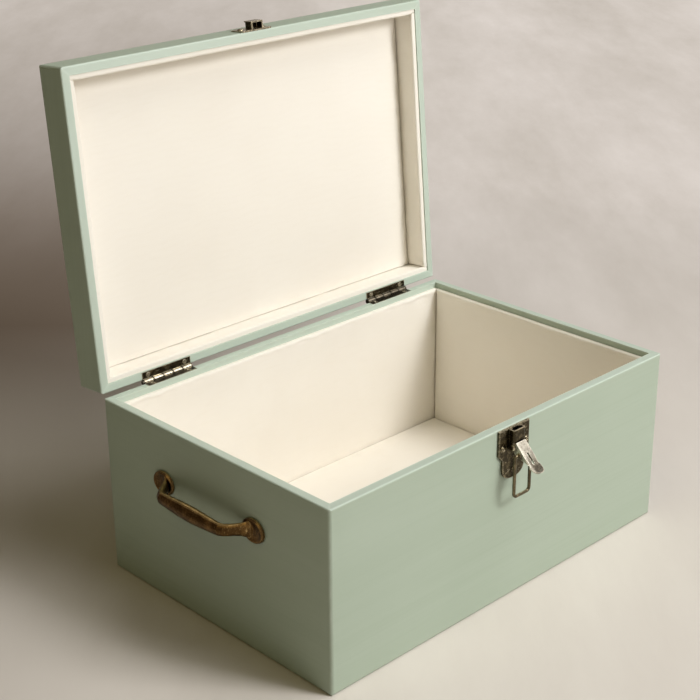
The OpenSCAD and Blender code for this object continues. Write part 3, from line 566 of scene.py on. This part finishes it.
def make_pad(node, place, normal, up, slim, rolls, crown, bead, seed):
    """Makes a pad for the space of its CAD node. place is the frame in which that space is square, normal
    the side that the pad's face looks to there, and up the side of its free edge. slim is taken off its
    thickness before it is puffed up, and rolls are the radii of its edges at u = 0, u = width, v = 0 and
    v = height. Returns the pad, the number of its face's points, the border's points, and the matrix that
    takes the pad to its place."""
    low, high = box_of(node_points(node, place))
    w = Vector(normal)
    v = Vector(up)
    u = v.cross(w)
    size = high - low
    middle = (low + high) / 2
    thick, width, height = (abs(size.dot(side)) for side in (w, u, v))
    corner = middle - w * thick / 2 - u * width / 2 - v * height / 2
    us = grid_places(width, rolls[0], rolls[1])
    vs = grid_places(height, rolls[2], rolls[3])
    face = pad_face(us, vs, thick - slim, rolls, crown, bead, seed)
    border = [j * len(us) + i for j, y in enumerate(vs) for i, x in enumerate(us)
              if min(x, width - x, y, height - y) < PINNED]
    obj = close_pad(node + "_cloth", face, len(us))
    turn = Matrix((u, v, w)).transposed().to_4x4()
    return obj, len(face), border, place @ Matrix.Translation(corner) @ turn


# The settings of the cloth simulation.
CLOTH = {
    "vertex_group_mass": "backing",
    "quality": 6,
    "mass": 0.15,
    "tension_stiffness": 12,
    "compression_stiffness": 12,
    "shear_stiffness": 4,
    "bending_stiffness": 0.25,
    "use_pressure": True,
    "uniform_pressure_force": 4,
    "shrink_min": -0.012,
}


def puff(pads):
    """Blows the pads up as cloth with a fixed back and border. Of each point's move the rise is kept, up to
    PUFF."""
    scene = bpy.context.scene
    before = []
    for obj, count, border, _ in pads:
        group = obj.vertex_groups.new(name="backing")
        group.add(range(count, len(obj.data.vertices)), 1.0, "REPLACE")
        group.add(border, 1.0, "REPLACE")
        before.append([v.co.copy() for v in obj.data.vertices])
        cloth = obj.modifiers.new("cloth", "CLOTH")
        for key, value in CLOTH.items():
            setattr(cloth.settings, key, value)
        cloth.settings.effector_weights.gravity = 0
        cloth.collision_settings.use_collision = False
        cloth.point_cache.frame_end = SIM_STEPS
    for step in range(1, SIM_STEPS + 1):
        scene.frame_set(step)
    for (obj, *_), rest in zip(pads, before):
        apply_modifiers(obj)
        for v, home in zip(obj.data.vertices, rest):
            v.co = home + Vector((0, 0, min(max(v.co.z - home.z, 0), PUFF)))
    scene.frame_set(1)


UP, DOWN, FRONT, BACK, LEFT, RIGHT = (0, 0, 1), (0, 0, -1), (0, -1, 0), (0, 1, 0), (-1, 0, 0), (1, 0, 0)
# The radii of the pads' edges and the other sizes in this table are in millimetres.
BUTT = 0.7              # an edge that meets another pad
SIDE_ROLLS = (BUTT, BUTT, BUTT, 1.5)
STRIP_ROLLS = (BUTT, BUTT, 0.35, 0.9)
BED_ROLLS = (0.9, 0.9, 0.9, 0.9)
LID_BED_ROLLS = (0.9, 0.9, 0.9, 0.35)
PADS = (
    # node, place, the side its face looks to, its free edge's side, slimming, edge radii, crown, bead
    ("floor_pad", upright, UP, BACK, 0.9, BED_ROLLS, 1.0, 0),
    ("front_pad", upright, BACK, UP, 0.4, SIDE_ROLLS, 0.4, 0.9),
    ("back_pad", upright, FRONT, UP, 0.4, SIDE_ROLLS, 0.4, 0.9),
    ("left_pad", upright, RIGHT, UP, 0.4, SIDE_ROLLS, 0.4, 0.9),
    ("right_pad", upright, LEFT, UP, 0.4, SIDE_ROLLS, 0.4, 0.9),
    ("lid_top_pad", open_lid, DOWN, BACK, 0.8, LID_BED_ROLLS, 0.8, 0),
    ("lid_front_pad", open_lid, BACK, DOWN, 0.2, STRIP_ROLLS, 0.2, 1.2),
    ("lid_back_pad", open_lid, FRONT, DOWN, 0.2, STRIP_ROLLS, 0.2, 1.2),
    ("lid_left_pad", open_lid, RIGHT, DOWN, 0.2, STRIP_ROLLS, 0.2, 1.2),
    ("lid_right_pad", open_lid, LEFT, DOWN, 0.2, STRIP_ROLLS, 0.2, 1.2),
)


def line_the_box():
    """Makes the ten pads of the lining and puts them in their places."""
    pads = [make_pad(node, place, normal, up, slim * MM, [r * MM for r in rolls], crown * MM, bead * MM, seed)
            for seed, (node, place, normal, up, slim, rolls, crown, bead) in enumerate(PADS)]
    puff(pads)
    for (obj, _, _, place), (node, *_) in zip(pads, PADS):
        obj.data.transform(place)
        subdivide = obj.modifiers.new("subdivide", "SUBSURF")
        subdivide.levels = subdivide.render_levels = 1
        apply_modifiers(obj)
        obj.data.shade_smooth()
        obj.vertex_groups.clear()
        obj.data.materials.clear()
        obj.data.materials.append(cream)
        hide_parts(node)
        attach(obj, body_of_node[node])


line_the_box()


# ---------------------------------------------------------------- screws

def turned(name, profile, steps=28):
    """A solid turned about Z from (radius, height) points, the first and last on the axis."""
    bm = bmesh.new()
    rings = []
    for radius, z in profile:
        if radius == 0:
            rings.append([bm.verts.new((0, 0, z))])
        else:
            rings.append([bm.verts.new((radius * math.cos(2 * math.pi * k / steps),
                                        radius * math.sin(2 * math.pi * k / steps), z))
                          for k in range(steps)])
    for low, high in zip(rings, rings[1:]):
        for k in range(steps):
            n = (k + 1) % steps
            corners = [low[k % len(low)], low[n % len(low)], high[n % len(high)], high[k % len(high)]]
            face = []
            for c in corners:
                if c not in face:
                    face.append(c)
            if len(face) > 2:
                bm.faces.new(face)
    return from_bmesh(name, bm)


def cut_cross(obj, length, width, depth, top):
    """Cuts a cross recess, shorter at its bottom, into a screw's head that ends at height top."""
    cutters = []
    for turn in (0, math.pi / 2):
        bm = bmesh.new()
        bmesh.ops.create_cube(bm, size=1)
        for v in bm.verts:
            taper = 1.0 if v.co.z > 0 else 0.45
            height = top + (v.co.z - 0.5) * depth + depth * 0.2     # a fifth of the cutter stands out
            v.co = Vector((v.co.x * length * taper, v.co.y * width, height))
        bmesh.ops.rotate(bm, verts=bm.verts, matrix=Matrix.Rotation(turn, 3, "Z"))
        cutter = from_bmesh("cutter", bm, smooth=False)
        cut = obj.modifiers.new("cut", "BOOLEAN")
        cut.operation = "DIFFERENCE"
        cut.object = cutter
        cutters.append(cutter)
    apply_modifiers(obj)
    for cutter in cutters:
        bpy.data.objects.remove(cutter)


def flat_screw(head_r, shank_r, length):
    """A countersunk screw with its head's face on z = 0."""
    cone = head_r - shank_r
    obj = turned("screw", [(0, 0), (head_r - 0.12 * MM, 0), (head_r, -0.08 * MM), (shank_r, -cone),
                           (shank_r, -0.7 * length), (0, -length)])
    cut_cross(obj, 1.5 * head_r, 0.34 * head_r, 0.42 * cone + 0.3 * MM, 0)
    return obj


def round_screw(head_r, head_h, shank_r, length):
    """A round-headed screw with the underside of its head on z = 0."""
    dome = [(0, head_h)]
    for k in range(1, 7):
        a = math.pi / 2 * k / 6
        dome.append((head_r * math.sin(a), head_h * math.cos(a) ** 0.8 if k < 6 else 0.1 * head_h))
    obj = turned("screw", dome + [(head_r, 0), (shank_r, 0), (shank_r, -0.7 * length), (0, -length)])
    cut_cross(obj, 1.35 * head_r, 0.34 * head_r, 0.8 * head_h, head_h)
    return obj


def set_screws(node, place, out, pattern, head_end, turn):
    """Copies of a screw, one in each of the node's solids, joined into one piece. out is the way the heads
    look, head_end the head's height above the pattern's z = 0, and turn what each recess is turned by from
    the last."""
    axis = [k for k in range(3) if abs(out[k]) > 0.5][0]
    facing = Vector((0, 0, 1)).rotation_difference(Vector(out)).to_matrix().to_4x4()
    bm = bmesh.new()
    for number, (low, high) in enumerate(islands(node, place)):
        at = (low + high) / 2
        at[axis] = (high if out[axis] > 0 else low)[axis] - out[axis] * head_end
        move = place @ Matrix.Translation(at) @ facing @ Matrix.Rotation(turn * (number + 1), 4, "Z")
        copy = pattern.data.copy()
        copy.transform(move)
        bm.from_mesh(copy)
        bpy.data.meshes.remove(copy)
    obj = from_bmesh(node + "_cut", bm)
    obj.data.set_sharp_from_angle(angle=math.radians(38))
    return obj


def fit_screws():
    """Makes the screws that show and puts them in their places."""
    hinge_low, hinge_high = islands("hinge_case_screws", upright)[0]
    flat = flat_screw((hinge_high.x - hinge_low.x) / 2, 0.9 * MM, hinge_high.z - hinge_low.z)
    latch_low, latch_high = islands("latch_screws", upright)[0]
    head_r = (latch_high.x - latch_low.x) / 2
    head_h = 1.2 * MM
    domed = round_screw(head_r, head_h, 1.1 * MM, latch_high.y - latch_low.y - head_h)
    # node, place, the side the heads look to, pattern, its head's height, material, turn between recesses
    jobs = (
        ("hinge_case_screws", upright, UP, flat, 0, hinge_metal, 0.9),
        ("hinge_lid_screws", open_lid, DOWN, flat, 0, hinge_metal, 1.3),
        ("latch_screws", upright, FRONT, domed, head_h, plate_metal, 0.7),
        ("strike_screws", open_lid, FRONT, domed, head_h, plate_metal, 1.9),
    )
    for node, place, out, pattern, head_end, material, turn in jobs:
        obj = set_screws(node, place, out, pattern, head_end, turn)
        obj.data.materials.clear()
        obj.data.materials.append(material)
        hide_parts(node)
        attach(obj, body_of_node[node])
    for pattern in (flat, domed):
        bpy.data.objects.remove(pattern)


fit_screws()


# ---------------------------------------------------------------- floor, light and camera

FLOOR_SIZE = 9          # half of its side
FLOOR_GAP = 0.2 * MM    # below the box, so that the two faces don't lie in one plane
VIEW_TURN = math.radians(44)        # makes X run across the camera's view and Y away from it
NEUTRAL = (1.0, 0.995, 0.99)
WARM = (1.0, 0.87, 0.44)
WARM_FILL = (1.0, 0.86, 0.56, 1)


def ground():
    """A plain pale floor with a faint mottle. Far from the box it glows for the camera and mirrored rays in an
    even pale tone, with a painted shadow behind the box's shaded side. Its own colour takes a fainter copy of
    that painted shadow, which fades out 0.15 m behind the box's middle."""
    bm = bmesh.new()
    bmesh.ops.create_grid(bm, x_segments=2, y_segments=2, size=FLOOR_SIZE)
    obj = from_bmesh("floor", bm, smooth=False)
    obj.location.z = -FLOOR_GAP
    s = Shader("floor_paint")
    across, away, _ = s.split(s.mapped(turn=(0, 0, VIEW_TURN)))
    drawn_out = s.node("ShaderNodeCombineXYZ")
    s.join(across, drawn_out.inputs[0])
    s.join(s.product(away, 0.3), drawn_out.inputs[1])
    clouds = s.noise(drawn_out.outputs[0], scale=5, detail=7, roughness=0.68)
    mottle = s.ramp(clouds, 0.32, 0.68)

    # Painted shadow: darker to the left of the box, strongest 0.35 m behind its middle.
    off_middle = s.product(s.maths("SUBTRACT", away, 0.35), 1.05)
    fading = s.maths("ADD", s.product(off_middle, off_middle), 1.0)
    shade = s.maths("DIVIDE", s.ramp(across, 0.02, -0.28), fading)
    dim = colour(93, 78, 63)
    base = s.mix(mottle, colour(217, 209, 201), colour(228, 221, 213))
    base = s.mix(s.product(shade, s.ramp(away, 0.15, 0.45, 0.0, 0.85)), base, dim)
    s.finish(Base_Color=base, Roughness=0.9, Specular_IOR_Level=0.15)

    from_box = s.vector("LENGTH", s.place)["Value"]
    far = s.ramp(s.maths("ADD", from_box, s.product(clouds, 0.3)), 0.4, 1.1)
    tone = s.mix(mottle, colour(200, 191, 181), colour(221, 212, 204))
    # The far floor glows: its pale tone with the painted shadow, seen by the camera and in mirrored rays.
    glow = s.node("ShaderNodeEmission")
    s.join(s.mix(shade, tone, dim), glow.inputs["Color"])
    both = s.mix_shaders(s.product(far, s.seen()), s.bsdf, glow)
    s.join(both, s.tree.nodes["Material Output"].inputs["Surface"])
    obj.data.materials.append(s.material)


def lamp(name, aim, toward, distance, size, power, tint):
    """A square soft lamp that shines on a point from a direction."""
    data = bpy.data.lights.new(name, "AREA")
    data.shape = "SQUARE"
    data.size = size
    data.energy = power
    data.color = tint
    obj = bpy.data.objects.new(name, data)
    bpy.context.scene.collection.objects.link(obj)
    way = Vector(toward).normalized()
    obj.location = Vector(aim) + way * distance
    obj.rotation_euler = way.to_track_quat("Z", "Y").to_euler()


def room():
    """A world that gives a dim warm fill. The camera sees a pale room there, dimmer on the box's shaded
    side."""
    world = bpy.data.worlds.new("world")
    world.use_nodes = True
    w = Nodes(world.node_tree)
    fill = w.tree.nodes["Background"]
    fill.inputs["Color"].default_value = WARM_FILL
    fill.inputs["Strength"].default_value = 0.05
    direction = w.node("ShaderNodeTexCoord").outputs["Generated"]
    to_right = w.vector("DOT_PRODUCT", direction, (0.72, -0.69, 0))["Value"]
    tone = w.mix(w.ramp(to_right, -0.7, 0.3), colour(112, 100, 86), colour(214, 206, 198))
    pale = w.node("ShaderNodeBackground")
    w.join(tone, pale.inputs["Color"])
    pale.inputs["Strength"].default_value = 1.0
    w.join(w.mix_shaders(w.seen(), fill, pale), w.tree.nodes["World Output"].inputs["Surface"])
    return world


def studio():
    """Four soft lamps, in metres and watts, and the room round them."""
    middle = (0, 0, 0.12)
    lamp("key", middle, toward=(0.45, -1.0, 0.85), distance=2.2, size=0.6, power=23, tint=NEUTRAL)
    lamp("front", middle, toward=(0.45, -1.0, 0.5), distance=2.4, size=1.2, power=15.5, tint=NEUTRAL)
    lamp("top", (0.05, 0, 0.1), toward=(0.25, -0.3, 1.0), distance=2.2, size=1.2, power=17, tint=NEUTRAL)
    lamp("left", middle, toward=(-1.0, -0.25, 1.5), distance=2.2, size=1.1, power=3.7, tint=WARM)
    bpy.context.scene.world = room()
    bpy.context.scene.view_settings.view_transform = "Standard"


def camera():
    """The photograph's camera, from a fit to the box's corners in a 700 x 700 frame."""
    focal_px = 1530.79
    frame_px = 700
    position = Vector((-743.77, -723.6, 595.99)) * MM
    pitch, yaw, roll = (math.radians(angle) for angle in (22.87, 44.12, 0.45))
    data = bpy.data.cameras.new("camera")
    data.sensor_width = 36
    data.lens = focal_px / frame_px * data.sensor_width
    obj = bpy.data.objects.new("camera", data)
    bpy.context.scene.collection.objects.link(obj)
    ahead = Vector((math.sin(yaw) * math.cos(pitch), math.cos(yaw) * math.cos(pitch), -math.sin(pitch)))
    right = Vector((math.cos(yaw), -math.sin(yaw), 0))
    down = ahead.cross(right)
    across = right * math.cos(roll) + down * math.sin(roll)
    below = down * math.cos(roll) - right * math.sin(roll)
    turn = Matrix((across, -below, -ahead)).transposed().to_4x4()
    obj.matrix_world = Matrix.Translation(position) @ turn
    bpy.context.scene.camera = obj


ground()
studio()
camera()
